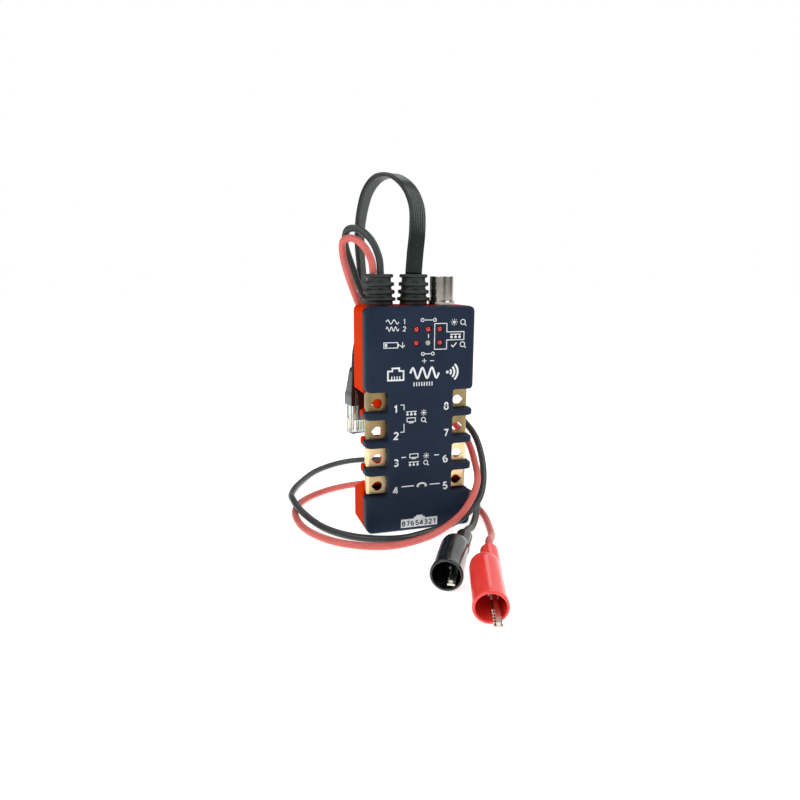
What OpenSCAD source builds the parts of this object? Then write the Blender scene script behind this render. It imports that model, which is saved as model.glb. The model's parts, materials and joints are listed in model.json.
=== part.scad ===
// Cable tone generator: a hand-held case with eight line terminals, two test
// leads with covered clips, a flat network lead with a modular plug, and a
// push-on coax connector.  Millimetres, +Z up, front face towards -Y, origin
// at the middle of the base.

/* [Case] */
// Width of the case
body_w = 57; // [54:0.5:62]
// Height of the case
body_h = 115; // [112:0.5:120]
// Depth of the case, front to back
body_d = 28.5; // [28.5:0.5:32]
// Depth of the front cover, up to the parting line
cover_d = 8; // [7.5:0.5:9]
// Wall thickness of both shells
wall = 2; // [1.8:0.1:2.4]
// Corner radius of the case seen from the front
corner_r = 3.5; // [2:0.5:5]

/* [Terminals] */
// Width of the narrow middle stretch between the two rows of terminals
neck_w = 34; // [33:0.5:36]
// Height of the base block, which is the floor of the lowest terminal bay
base_h = 19; // [17:0.5:20]
// Height of the underside of the head block over the top terminal bay
head_z = 73; // [72:0.5:74]
// Distance from one terminal to the next
bay_pitch = 14.3; // [14:0.1:14.5]
// Thickness of the fins between the terminals
fin_t = 3.6; // [3:0.1:4]
// Width of a terminal's contact plate
plate_w = 10; // [9:0.5:10.5]
// Height of a terminal's contact plate
plate_h = 10.1; // [9:0.1:10.2]
// Thickness of the terminal's sheet brass
plate_t = 0.8; // [0.6:0.1:1]
// Radius of the round part of the teardrop hole
eye_r = 2.4; // [2:0.1:2.6]

/* [Fittings] */
// Diameter of the coax connector's sleeve
coax_d = 12; // [11:0.5:12.5]
// Inner diameter of the coax connector's sleeve
coax_bore_d = 9.52; // [9.4:0.01:9.6]
// Height of the coax connector's sleeve over the case
coax_h = 14; // [12:0.5:15]
// Height of a strain relief over the case
relief_h = 15.3; // [14:0.1:17]
// Diameter of the indicator lights
led_d = 3; // [2.9:0.1:3]

/* [Cords] */
// Diameter of a test lead
lead_d = 3.6; // [3.2:0.1:3.6]
// Width of the flat cable
flat_w = 8.6; // [7:0.1:9]
// Thickness of the flat cable
flat_t = 2.3; // [2:0.1:2.6]

/* [Clips] */
// Length of a clip cover's barrel, mouth to shoulder
barrel_l = 33; // [32:0.5:36]
// Radius of the clip cover at its mouth
mouth_r = 7.2; // [7:0.1:7.5]
// How far the clip's metal nose stands out of the red cover
red_reach = 7; // [5:0.5:8]
// How far the clip's metal nose stands out of the black cover
black_reach = 1.5; // [0:0.5:4]

/* [Hidden] */
$fn = 48;
eps = 0.01;
half_w = body_w / 2;
front_y = -body_d / 2;
back_y = body_d / 2;
part_y = front_y + cover_d;
half_neck = neck_w / 2;
spine_hw = half_neck - wall;
spine_y = back_y - 6.5;
bulge_hw = 18;
bulge_z = 57;
face_t = 2.2;
plate_x = 27.1;
plate_y = front_y + 5.5;
fin_depth = 8;
board_y0 = plate_y + plate_t;
board_y1 = board_y0 + 1.6;
led_cols = [-3, 3.1, 9.2];
led_rows = [103.8, 97.1];
post_spots = [[-23, 105], [23, 105], [-22, 9.5], [22, 9.5]];
relief_x = [-18, 0];
top_y = 0.75;
coax_x = 15.2;
button_y = 1;
button_z = 93;
door_hw = 15.4;
door_top = 112;
door_t = 2;
plug_x = -22.5;
plug_y = 25.8;
plug_yaw = 12;
boot_top = 80.5;
boot_bottom = 60;
plug_tip = 44.5;
red_mouth = [-5.2, -111, 7.3];
red_turn = [0, -6.5, 70.5];
black_mouth = [-11.6, -81.2, 7.3];
black_turn = [0, -1, 61];
neck_l = 9;
neck_shift = -3;
navy = [0.13, 0.17, 0.24];
orange = [0.88, 0.23, 0.03];
brass = [0.72, 0.6, 0.38];
steel = [0.72, 0.72, 0.7];
black_pvc = [0.06, 0.07, 0.07];
red_pvc = [0.9, 0.12, 0.1];

// Routes of the three cords, each from its strain relief to its far end.
flat_route = [[0, 0.75, 130.3], [0.8, 1, 140], [2.2, 2, 152], [2.6, 5, 164], [-0.5, 9.4, 173.5],
    [-6.5, 14.5, 179], [-12.8, 19.2, 178.6], [-17.4, 22.8, 173], [-20.2, 26, 162], [-21, 28.6, 148],
    [-19.6, 30, 131], [-18.8, 30, 114], [-20.4, 27.4, 97], [-22, 26, 87], [-22.5, 25.8, 80.5]];
// Turn of the flat cable's broad side about the vertical at each point of its route.
flat_turn = [0, 0, 4, 10, 18, 26, 32, 38, 44, 50, 52, 42, 24, 12, 12];
black_route = [[-17.2, 0.75, 130.3], [-17.8, 1.3, 138], [-21, 3.8, 146.5], [-26.2, 8.6, 152],
    [-30.6, 13.8, 152], [-31.2, 18, 146], [-27.4, 21.2, 135.5], [-20, 22.4, 118], [8, 22.8, 76.5],
    [24.5, 24, 62.5], [34.8, 18.6, 51], [39.8, 8, 41.5], [39.8, -3.5, 26.5],
    [33.5, -14.2, 14.8], [24, -19.3, 8.2], [13.5, -20.9, 3.6], [1, -22.8, 1.9], [-15, -26.6, 1.9],
    [-34, -19.5, 1.9], [-48, -3.5, 2.2], [-56.5, 16, 4.8], [-59, 32, 6.2], [-57, 52, 3.4],
    [-48, 76, 1.9], [-32, 99.5, 1.9], [-8, 113.6, 1.9], [18, 109, 1.9], [35.5, 90, 1.9],
    [42.5, 64, 1.9], [44.2, 36, 2.2], [42.2, 12.5, 5.2], [37.4, -2.5, 6.2], [29.5, -17, 3.2],
    [22.6, -28.5, 4.2], [16.2, -38, 7.2], [11.4, -45.9, 8]];
red_route = [[-20.9, 0.75, 130.3], [-21.8, 1.4, 137], [-25.2, 4.8, 144.2], [-29.8, 8.8, 147.6],
    [-33.2, 12.4, 146.4], [-33, 15.4, 140], [-27.4, 18.2, 123], [-17, 19.3, 101], [10, 19, 65.5],
    [29.2, 16.2, 49], [34.6, 8, 40.5], [34.4, -3.6, 31.2], [31, -15.4, 23],
    [21.5, -22.4, 11.8], [10, -24.9, 4.4], [-4, -29.8, 1.9], [-24, -33.5, 1.9], [-44, -23.5, 1.9],
    [-56.2, -5.5, 1.9], [-59.8, 14, 1.9], [-57.2, 32, 1.9], [-46.5, 47.5, 1.9], [-27, 59.5, 1.9],
    [-2, 62.5, 1.9], [20, 52.5, 1.9], [34.5, 33.5, 1.9], [39.8, 11, 1.9], [38.6, -9, 1.9],
    [33.8, -26, 2.2], [27.5, -42, 4.8], [21, -54.5, 9], [15.7, -64, 12.3], [11.6, -72.7, 12]];

// ---------- helpers ----------

// A plate with a front-view outline (x, z), from y0 back to y1.
module slab_y(y0, y1) {
    translate([0, y1, 0]) rotate([90, 0, 0]) linear_extrude(y1 - y0) children();
}

// A plate with a side-view outline (y, z), from x0 to x1.
module slab_x(x0, x1) {
    translate([x0, 0, 0]) rotate([90, 0, 90]) linear_extrude(x1 - x0) children();
}

// A block between two opposite corners.
module block(a, b) {
    translate(a) cube(b - a);
}

// The same shape on both sides of the middle plane.
module both_sides() {
    children();
    mirror([1, 0, 0]) children();
}

// A rectangle between two corners, with round corners.
module round_rect(a, b, r) {
    translate(a + [r, 0]) square(b - a - [2 * r, 0]);
    translate(a + [0, r]) square(b - a - [0, 2 * r]);
    for (x = [a[0] + r, b[0] - r], y = [a[1] + r, b[1] - r]) translate([x, y]) circle(r);
}

// A cylinder along Y between two depths, at (x, z).
module rod_y(x, z, y0, y1, r) {
    translate([x, y1, z]) rotate([90, 0, 0]) cylinder(h = y1 - y0, r = r);
}

// The case's outer limits: round corners seen from the front, the top and the side.
module envelope() {
    intersection() {
        slab_y(front_y - 1, back_y + 1) round_rect([-half_w, 0], [half_w, body_h], corner_r);
        linear_extrude(body_h) round_rect([-half_w, front_y], [half_w, back_y], 3);
        slab_x(-half_w - 1, half_w + 1)
            round_rect([front_y, 0], [back_y, body_h], 1.6);
    }
}

// ---------- case ----------

function fin_z(k) = head_z - 10.3 - fin_t - k * bay_pitch;

// A fin between two terminals, seen from above: one long corner is round.
module fin_plan(y0, y1, round_y) {
    r = 3.5;
    s = round_y > y0 ? 1 : -1;
    difference() {
        translate([spine_hw, y0]) square([half_w - spine_hw, y1 - y0]);
        translate([half_w - r, round_y - s * r]) difference() {
            translate([0, s > 0 ? 0 : -r - 1]) square([r + 1, r + 1]);
            circle(r);
        }
    }
}

module fins(y0, y1, round_y) {
    both_sides() for (k = [0:2])
        translate([0, 0, fin_z(k)]) linear_extrude(fin_t) fin_plan(y0, y1, round_y);
}

module tail_notches(y0, y1) {
    both_sides() for (k = [0:3])
        block([spine_hw - 1, y0, plate_z(k) + 3], [half_neck + 1, y1, plate_z(k) + 7.2]);
}

module cover_outline() {
    round_rect([-half_w, head_z], [half_w, body_h], 2);
    translate([-half_neck, 0]) square([neck_w, body_h]);
    round_rect([-half_w, 0], [half_w, base_h], 1);
}

module cover_cavity() {
    translate([-half_w + wall, head_z + wall]) square([body_w - 2 * wall, body_h - head_z - 2 * wall]);
    translate([-spine_hw, wall]) square([2 * spine_hw, body_h - 2 * wall]);
    translate([-half_w + wall, wall]) square([body_w - 2 * wall, base_h - 2 * wall]);
}

module front_cover() color(navy) {
    difference() {
        union() {
            intersection() {
                slab_y(front_y, part_y) cover_outline();
                envelope();
            }
            fins(front_y, part_y, front_y);
        }
        slab_y(front_y + face_t, part_y + 1) cover_cavity();
        for (x = led_cols, z = led_rows) rod_y(x, z, front_y - 1, part_y, led_d / 2 + 0.1);
        tail_notches(plate_y - 0.05, part_y + 1);
    }
    for (p = post_spots) difference() {
        rod_y(p[0], p[1], front_y + face_t - eps, part_y, 3);
        rod_y(p[0], p[1], front_y + face_t + 0.5, part_y + 1, 1.5);
    }
}

module housing_blocks() {
    // head, battery bulge, spine, and a base whose top slopes down to the back
    block([-half_w, part_y, head_z - 1], [half_w, back_y, body_h]);
    block([-bulge_hw, part_y, bulge_z], [bulge_hw, back_y, head_z]);
    block([-half_neck + 1.5, part_y, 1], [half_neck - 1.5, spine_y, bulge_z + 1]);
    slab_x(-half_w, half_w) polygon([[part_y, 0], [back_y, 0], [back_y, 17.5], [part_y, 27]]);
}

module housing_cavities() {
    block([-half_w + wall, part_y - 1, head_z + wall], [half_w - wall, back_y - wall, body_h - wall]);
    block([-15.4, part_y - 1, bulge_z + wall], [15.4, back_y - wall, head_z + wall + 1]);
    block([-13.4, part_y - 1, wall], [13.4, spine_y - wall, bulge_z + wall + 1]);
    slab_x(-half_w + wall, half_w - wall)
        polygon([[part_y - 1, wall], [back_y - wall, wall], [back_y - wall, 15.4], [part_y - 1, 25]]);
}

module rear_housing() color(orange) {
    difference() {
        union() {
            difference() {
                union() {
                    intersection() {
                        housing_blocks();
                        envelope();
                    }
                    fins(part_y, part_y + fin_depth, part_y + fin_depth);
                }
                housing_cavities();
            }
            for (p = post_spots)
                rod_y(p[0], p[1], part_y, back_y - eps, p[1] > head_z ? 3.2 : 3.4);
        }
        for (p = post_spots) {
            rod_y(p[0], p[1], part_y - 1, back_y + 1, 1.6);
            rod_y(p[0], p[1], back_y - 4, back_y + 1, 2.9);
        }
        for (x = relief_x) translate([x, top_y, body_h - wall - 1]) cylinder(h = wall + 2, r = 5.2);
        translate([coax_x, top_y, body_h - wall - 1]) cylinder(h = wall + 2, r = 4.9);
        // doorway in the back, open downwards, with a groove on each side
        for (cut = [[0.3, -door_t - 0.3, 1], [1.3, -1.7, -0.6]])
            block([-door_hw - cut[0], back_y + cut[1], bulge_z - 1],
                [door_hw + cut[0], back_y + cut[2], door_top + 0.3]);
        // window for the mode button
        slab_x(half_w - wall - 1, half_w + 1)
            round_rect([button_y - 4.3, button_z - 6.3], [button_y + 4.3, button_z + 6.3], 4.2);
        // room for the bent flanges of the two lowest terminals
        both_sides() block([plate_x - 1.1, part_y - 1, base_h - 0.5], [half_w + 1, plate_y + 4.6, 28]);
    }
}

module battery_door() color(orange) {
    difference() {
        union() {
            block([-door_hw, back_y - door_t, bulge_z], [door_hw, back_y, door_top]);
            block([-door_hw - 1, back_y - 1.4, bulge_z], [door_hw + 1, back_y - 0.9, door_top]);
            for (i = [0:4]) block([-6, back_y - 0.2, 66 + 2 * i], [6, back_y + 0.3, 67 + 2 * i]);
        }
        // thumb dip over the grip ribs
        translate([0, back_y + 10.4, 82]) rotate([0, 90, 0]) cylinder(h = 14, r = 11, center = true);
    }
}

module case_screws() color(steel) {
    for (p = post_spots) difference() {
        union() {
            rod_y(p[0], p[1], front_y + face_t + 1, back_y - 3.9, 1.4);
            rod_y(p[0], p[1], back_y - 4, back_y - 2, 2.7);
        }
        block([p[0] - 1.4, back_y - 3, p[1] - 0.3], [p[0] + 1.4, back_y - 1, p[1] + 0.3]);
        block([p[0] - 0.3, back_y - 3, p[1] - 1.4], [p[0] + 0.3, back_y - 1, p[1] + 1.4]);
    }
}

// ---------- electronics ----------

module circuit_board() color([0.05, 0.32, 0.16]) difference() {
    union() {
        block([-26, board_y0, head_z + 2.4], [26, board_y1, 110.2]);
        block([-14.6, board_y0, 21], [14.6, board_y1, head_z + 3]);
    }
    for (p = post_spots) rod_y(p[0], p[1], board_y0 - 1, board_y1 + 1, 3.3);
}

// A chip body with a row of legs along both long sides.
module chip(x, z, w, h, legs) {
    block([x - w / 2, board_y0 - 1.7, z - h / 2], [x + w / 2, board_y0 - 0.2, z + h / 2]);
    for (i = [0:legs - 1], s = [-1, 1]) {
        leg_x = x + (i - (legs - 1) / 2) * 1.27;
        z0 = z + s * (h / 2 + 0.4);
        block([leg_x - 0.2, board_y0 - 0.9, z0 - 0.6], [leg_x + 0.2, board_y0, z0 + 0.6]);
    }
}

module controller_chip() color([0.1, 0.1, 0.11]) chip(0, 80.5, 12.6, 7.4, 10);

module board_parts() color([0.75, 0.72, 0.62]) {
    chip(0, 60, 5, 4, 4);
    chip(0, 45, 5, 4, 4);
    for (k = [0:3], s = [-1, 1])
        block([s * 7 - 1.6, board_y0 - 0.6, 28 + 14 * k], [s * 7 + 1.6, board_y0, 29.6 + 14 * k]);
    for (x = [-20, -17, 17, 20], z = [80, 86])
        block([x - 0.8, board_y0 - 0.8, z], [x + 0.8, board_y0, z + 2.6]);
}

module line_transformer() color([0.2, 0.2, 0.2]) {
    block([-6, board_y1, 27], [6, board_y1 + 5, 35]);
    block([-4.5, board_y1, 35], [4.5, board_y1 + 4, 39]);
    block([-4.5, board_y1, 23], [4.5, board_y1 + 4, 27]);
}

module mode_switch() color([0.15, 0.15, 0.16]) {
    block([18, board_y1, 89.8], [23.2, board_y1 + 10, 96.2]);
    translate([23.1, button_y, button_z]) rotate([0, 90, 0]) cylinder(h = 0.8, r = 1.7);
}

module mode_button() color(black_pvc) {
    slab_x(half_w - 2.3, half_w)
        round_rect([button_y - 4, button_z - 6], [button_y + 4, button_z + 6], 3.9);
    slab_x(half_w - 3.3, half_w - 2.3)
        round_rect([button_y - 5, button_z - 7], [button_y + 5, button_z + 7], 4.5);
    translate([half_w - 3.7, button_y, button_z]) rotate([0, 90, 0]) cylinder(h = 1, r = 1.8);
}

module led(col, row) {
    x = led_cols[col];
    z = led_rows[row];
    rod_y(x, z, front_y + 1.18, board_y0, led_d / 2);
    rod_y(x, z, board_y0 - 1.2, board_y0, led_d / 2 + 0.4);
    translate([x, front_y + led_d / 2 - 0.32, z]) sphere(led_d / 2 - 0.02);
}

module led_tone() color("red") led(0, 0);
module led_continuity() color("red") led(1, 0);
module led_blink() color("red") led(2, 0);
module led_low_battery() color("red") led(0, 1);
module led_polarity() color("white") led(1, 1);
module led_found() color("red") led(2, 1);

module battery() color([0.2, 0.2, 0.22]) {
    translate([0, 0, 59.5]) linear_extrude(46) round_rect([-13.2, -5.7], [13.2, 11.8], 2);
    translate([-6.4, 3, 105.4]) cylinder(h = 2, r = 2.9);
    translate([6.4, 3, 105.4]) difference() {
        cylinder(h = 2, r = 3.9);
        translate([0, 0, 0.6]) cylinder(h = 2, r = 3.1);
    }
}

module battery_snap() color(black_pvc) difference() {
    translate([0, 0, 105.9]) linear_extrude(3.4) round_rect([-12.6, -3.2], [12.6, 9.2], 2.5);
    translate([-6.4, 3, 105]) cylinder(h = 2.7, r = 3.1);
    translate([6.4, 3, 105]) cylinder(h = 2.7, r = 4.1);
}

// ---------- terminals ----------

function plate_z(k) = head_z - 10.2 - k * bay_pitch;

// The contact seen from above: a plate bent back along its outer edge.
module contact_plan() {
    turn_x = plate_x - 2 * plate_t;
    turn_y = plate_y + 2 * plate_t;
    translate([plate_x - plate_w, plate_y]) square([plate_w - 2 * plate_t, plate_t]);
    translate([plate_x - plate_t, turn_y]) square([plate_t, 2.7]);
    intersection() {
        translate([turn_x, turn_y]) difference() {
            circle(2 * plate_t);
            circle(plate_t);
        }
        translate([turn_x, plate_y - 1]) square([5, turn_y - plate_y + 1]);
    }
}

// A round hole with a point towards the outer edge.
module teardrop() {
    tip = 1.38 * eye_r;
    c = eye_r / tip;
    s = sqrt(1 - c * c);
    circle(eye_r);
    polygon([[0, 0], [eye_r * c, -eye_r * s], [tip, 0], [eye_r * c, eye_r * s]]);
}

module contact(k) {
    z0 = plate_z(k);
    turn_y = plate_y + 2 * plate_t;
    difference() {
        union() {
            translate([0, 0, z0]) linear_extrude(plate_h) contact_plan();
            block([12, plate_y, z0 + 3.1], [plate_x - plate_w + 1, board_y0, z0 + 7.1]);
        }
        // the side flange is a little shorter than the plate
        block([plate_x - 1, turn_y + 0.4, z0 - 1], [plate_x + 1, plate_y + 6, z0 + 1.1]);
        block([plate_x - 1, turn_y + 0.4, z0 + plate_h - 1.1], [plate_x + 1, plate_y + 6, z0 + plate_h + 1]);
        slab_y(plate_y - 1, board_y0 + 1) translate([21.3, z0 + 4]) teardrop();
    }
}

module left_terminal(k) color(brass) mirror([1, 0, 0]) contact(k);
module right_terminal(k) color(brass) contact(k);
module terminal_1() left_terminal(0);
module terminal_2() left_terminal(1);
module terminal_3() left_terminal(2);
module terminal_4() left_terminal(3);
module terminal_5() right_terminal(3);
module terminal_6() right_terminal(2);
module terminal_7() right_terminal(1);
module terminal_8() right_terminal(0);

// ---------- top fittings ----------

// Ribbed rubber bush with a neck through the case and a collar inside.
module strain_relief(x) color(black_pvc) translate([x, top_y, body_h]) rotate_extrude() polygon([
    [0, -4.2], [6.2, -4.2], [6.2, -wall - 0.2], [5, -wall - 0.2], [5, 0], [7, 0], [7, 0.8],
    [6.75, 2.2], [8.05, 2.2], [8.35, 2.5], [8.35, 3.6], [8.05, 3.9], [6.6, 3.9], [6.45, 5.6],
    [7.6, 5.6], [7.85, 5.9], [7.85, 7.3], [7.6, 7.6], [6.25, 7.6], [6.1, 9.4], [7.3, 9.4],
    [7.55, 9.7], [7.55, 11], [7.3, 11.3], [6, 11.3], [5.9, 13.6], [6.9, 13.6], [7.1, 13.8],
    [7.1, relief_h - 0.3], [6.8, relief_h], [0, relief_h]
]);

module lead_strain_relief() strain_relief(relief_x[0]);
module flat_strain_relief() strain_relief(relief_x[1]);

module coax_sleeve() color(steel) translate([coax_x, top_y, body_h]) rotate_extrude() polygon([
    [0.6, -4.6], [4.6, -4.6], [4.6, 0], [6.9, 0], [6.9, 1.7], [6.6, 2], [coax_d / 2, 2.2],
    [coax_d / 2, coax_h], [coax_d / 2 - 0.3, coax_h + 0.3], [coax_bore_d / 2 + 0.4, coax_h + 0.3],
    [coax_bore_d / 2, coax_h - 0.1], [coax_bore_d / 2, 3], [0.6, 3]
]);

module coax_nut() color(steel) translate([coax_x, top_y, body_h - 4.3]) difference() {
    cylinder(h = 2.2, r = 6.2, $fn = 6);
    translate([0, 0, -1]) cylinder(h = 5, r = 4.65);
}

module coax_insulator() color([0.92, 0.92, 0.9]) translate([coax_x, top_y, body_h + 3]) difference() {
    cylinder(h = 1.8, r = coax_bore_d / 2 - 0.05);
    translate([0, 0, -1]) cylinder(h = 4, r = 0.6);
}

module coax_pin() color([0.8, 0.55, 0.3]) translate([coax_x, top_y, body_h - 6]) cylinder(h = 14.5, r = 0.5);

// ---------- cords ----------

function unit(v) = v / norm(v);
function flatten(v, t) = unit(v - (v * t) * t);
function aims(p, first, last) =
    [for (i = [0:len(p) - 1]) i == 0 ? first : i == len(p) - 1 ? last : unit(p[i + 1] - p[i - 1])];
function sides(t) =
    [for (i = 0, u = flatten([0, 1, 0], t[0]); i < len(t);
        i = i + 1, u = i < len(t) ? flatten(u, t[i]) : u) u];
function round_rings(p, t, u, d) = [for (i = [0:len(p) - 1]) [for (k = [0:7])
    p[i] + d / 2 * (cos(45 * k) * u[i] + sin(45 * k) * cross(t[i], u[i]))]];
function flat_corners(w, t, c) = [[w, c - t], [w, t - c], [w - c, t], [c - w, t],
    [-w, t - c], [-w, c - t], [c - w, -t], [w - c, -t]];
function flat_rings(p, t, turn, outline) = [for (i = [0:len(p) - 1])
    let (w = flatten([cos(turn[i]), sin(turn[i]), 0], t[i]))
    [for (c = outline) p[i] + c[0] * w + c[1] * cross(t[i], w)]];

// A closed tube through a list of rings with the same number of corners.
module sweep(rings) {
    n = len(rings[0]);
    m = len(rings);
    polyhedron(
        points = [for (r = rings) each r],
        faces = concat(
            [[for (k = [0:n - 1]) k]],
            [for (i = [0:m - 2], k = [0:n - 1]) each [
                [i * n + k, i * n + n + k, i * n + n + (k + 1) % n],
                [i * n + k, i * n + n + (k + 1) % n, i * n + (k + 1) % n]]],
            [[for (k = [n - 1:-1:0]) (m - 1) * n + k]]
        )
    );
}

module flat_cable() color([0.25, 0.27, 0.26]) {
    t = aims(flat_route, [0, 0, 1], [0, 0, -1]);
    sweep(flat_rings(flat_route, t, flat_turn, flat_corners(flat_w / 2, flat_t / 2, 0.6)));
}

module lead(route, turn) {
    t = aims(route, [0, 0, 1], -axis_of(turn));
    sweep(round_rings(route, t, sides(t), lead_d));
}

module black_lead() color([0.2, 0.22, 0.22]) lead(black_route, black_turn);
module red_lead() color([0.85, 0.4, 0.35]) lead(red_route, red_turn);

// ---------- network plug ----------

module at_plug() translate([plug_x, plug_y, 0]) rotate([0, 0, plug_yaw]) children();

module plug_boot() color(black_pvc) at_plug() difference() {
    union() {
        intersection() {
            slab_y(-7, 6) polygon([[-6.7, boot_bottom], [6.7, boot_bottom], [6.7, 65], [6.2, 68],
                [4.9, 78.5], [4.5, boot_top], [-4.5, boot_top], [-4.9, 78.5], [-6.2, 68], [-6.7, 65]]);
            slab_x(-8, 8) polygon([[-4.6, boot_bottom], [4.6, boot_bottom], [4.6, 66], [3.9, 69],
                [2.6, 78.5], [2.2, boot_top], [-2.2, boot_top], [-2.6, 78.5], [-3.9, 69], [-4.6, 66]]);
        }
        // hood over the end of the latch
        slab_x(-3.9, 3.9)
            polygon([[-7, 57.4], [-3.6, 58.8], [-3.6, 69], [-4.4, 69], [-6.6, 64.5], [-7.4, 60]]);
    }
    block([-6, -3.45, boot_bottom - 2], [6, 3.45, 66.2]);
    block([-3.1, -6.3, 56], [3.1, -3, 62.4]);
}

module plug_body() color([0.8, 0.85, 0.85, 0.6]) at_plug() difference() {
    union() {
        block([-5.84, -3.3, plug_tip], [5.84, 3.3, 66]);
        block([-5.84, -3.9, plug_tip], [-4.2, -3.2, 56]);
        block([4.2, -3.9, plug_tip], [5.84, -3.2, 56]);
    }
    for (i = [0:7]) block([(i - 3.5) * 1.02 - 0.26, 1.6, plug_tip - 1], [(i - 3.5) * 1.02 + 0.26, 4, 51]);
    block([-4.6, -1.1, 51.5], [4.6, 1.3, 67]);
}

module plug_contacts() color([0.85, 0.68, 0.3]) at_plug()
    for (i = [0:7]) translate([(i - 3.5) * 1.02 - 0.16, 0, 0]) slab_x(0, 0.32)
        polygon([[1.7, 45.2], [2.9, 45.6], [2.9, 46.4], [2.6, 50.6], [1.7, 50.6]]);

module plug_latch() color([0.8, 0.85, 0.85, 0.6]) at_plug() slab_x(-2.9, 2.9)
    polygon([[-3.4, 45.2], [-4.1, 45.2], [-5.9, 58.8], [-5.1, 58.8], [-4.55, 53.2], [-3.6, 46.6],
        [-3.4, 45.9]]);

// ---------- test clips ----------

// Direction of a turned clip's own x axis, which runs back from the mouth to the lead.
function axis_of(turn) = let (a = turn[2], b = -turn[1]) [cos(a) * cos(b), sin(a) * cos(b), sin(b)];

module at_red() translate(red_mouth) rotate(red_turn) children();
module at_black() translate(black_mouth) rotate(black_turn) children();

// Clip cover, mouth at x = 0: a barrel with a round shoulder and a neck set to one side.
module clip_boot() difference() {
    union() {
        rotate([0, 90, 0]) rotate_extrude() polygon([[0, 0], [mouth_r - 0.3, 0], [mouth_r, 0.4],
            [mouth_r, 1.5], [6.95, 4], [6.75, 9], [6.6, barrel_l - 5.5], [6.2, barrel_l - 3.2],
            [5.4, barrel_l - 1.5], [4.2, barrel_l - 0.4], [3.2, barrel_l], [0, barrel_l]]);
        translate([barrel_l - 8, neck_shift, 0]) rotate([0, 90, 0]) rotate_extrude()
            polygon([[0, 0], [4, 0], [4, 8 + neck_l - 0.6], [3.5, 8 + neck_l], [0, 8 + neck_l]]);
    }
    translate([-1, 0, 0]) rotate([0, 90, 0]) cylinder(h = barrel_l - 5, r = mouth_r - 1.2);
}

pivot_x = 15;
pivot_z = -2;
jaw_x = -3;
jaw_y = -2.2;

// Lower half of the clip: a trough from the nose to the wire crimp.
module fixed_jaw(nose_x) translate([jaw_x, jaw_y, 0]) difference() {
    union() {
        slab_y(-1.6, 1.6) polygon([[nose_x, -2.6], [nose_x + 0.5, -3.7], [nose_x + 6, -4.3],
            [27, -4.3], [27, -1.8], [21, -3], [18, -2.6], [16.5, -0.8], [13.5, -0.8], [12, -2.4]]);
        slab_y(-1.6, 1.6) polygon([[22, -4.3], [28.5, -4.3], [28.5, -0.6], [24, -0.6]]);
    }
    slab_y(-1, 1) polygon([[nose_x + 1.2, -1], [nose_x + 1.2, -3], [nose_x + 6, -3.6],
        [22.6, -3.6], [29, -3.6], [29, 0], [12, 0]]);
    translate([pivot_x, 3, pivot_z]) rotate([90, 0, 0]) cylinder(h = 6, r = 0.75);
    for (i = [0:4]) translate([nose_x + 2 + 1.8 * i, 0, -2.45])
        rotate([0, 45, 0]) cube([0.7, 4, 0.7], center = true);
}

// Upper half of the clip: nose, cheeks inside the lower half, and the thumb lever.
module moving_jaw(nose_x) translate([jaw_x, jaw_y, 0]) difference() {
    slab_y(-0.85, 0.85) polygon([[nose_x, -2.5], [nose_x + 0.4, -1.2], [nose_x + 6, -0.1],
        [12, 0.3], [16, 1], [26, 4.4], [26.6, 3.7], [17.2, -0.3], [16.2, -2.9], [14, -2.9], [12.6, -2.1]]);
    translate([pivot_x, 3, pivot_z]) rotate([90, 0, 0]) cylinder(h = 6, r = 0.75);
    block([12.9, -0.45, -4], [17.3, 0.45, 0.1]);
}

module clip_pivot() translate([jaw_x + pivot_x, jaw_y + 2, pivot_z]) rotate([90, 0, 0]) {
    cylinder(h = 4, r = 0.65);
    translate([0, 0, -0.3]) cylinder(h = 0.4, r = 1.1);
    translate([0, 0, 3.9]) cylinder(h = 0.4, r = 1.1);
}

// Wound spring round the pivot, with a leg along each half.
module clip_spring() translate([jaw_x, jaw_y, 0]) {
    translate([pivot_x, 0.4, pivot_z]) rotate([90, 0, 0]) difference() {
        cylinder(h = 0.8, r = 1.55);
        translate([0, 0, -1]) cylinder(h = 3, r = 0.85);
    }
    slab_y(-0.35, 0.35) polygon([[15, -0.9], [15, -0.5], [15.9, -0.6], [17.4, -1], [17.4, -1.4]]);
    slab_y(-0.35, 0.35) polygon([[15.4, -3.5], [22.4, -3.5], [22.4, -3.1], [15.4, -3.1]]);
}

module red_boot() color(red_pvc) at_red() clip_boot();
module red_fixed_jaw() color(steel) at_red() fixed_jaw(-red_reach - jaw_x);
module red_moving_jaw() color(steel) at_red() moving_jaw(-red_reach - jaw_x);
module red_pivot() color(steel) at_red() clip_pivot();
module red_spring() color(steel) at_red() clip_spring();
module black_boot() color(black_pvc) at_black() clip_boot();
module black_fixed_jaw() color(steel) at_black() fixed_jaw(-black_reach - jaw_x);
module black_moving_jaw() color(steel) at_black() moving_jaw(-black_reach - jaw_x);
module black_pivot() color(steel) at_black() clip_pivot();
module black_spring() color(steel) at_black() clip_spring();

front_cover();
rear_housing();
battery_door();
case_screws();
circuit_board();
controller_chip();
board_parts();
line_transformer();
mode_switch();
mode_button();
led_tone();
led_continuity();
led_blink();
led_low_battery();
led_polarity();
led_found();
terminal_1();
terminal_2();
terminal_3();
terminal_4();
terminal_5();
terminal_6();
terminal_7();
terminal_8();
lead_strain_relief();
flat_strain_relief();
coax_sleeve();
coax_nut();
coax_insulator();
coax_pin();
battery();
battery_snap();
flat_cable();
plug_boot();
plug_body();
plug_latch();
plug_contacts();
red_lead();
red_boot();
red_fixed_jaw();
red_moving_jaw();
red_pivot();
red_spring();
black_lead();
black_boot();
black_fixed_jaw();
black_moving_jaw();
black_pivot();
black_spring();
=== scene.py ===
"""The looks of a hand-held cable tone generator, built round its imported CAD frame."""

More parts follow.
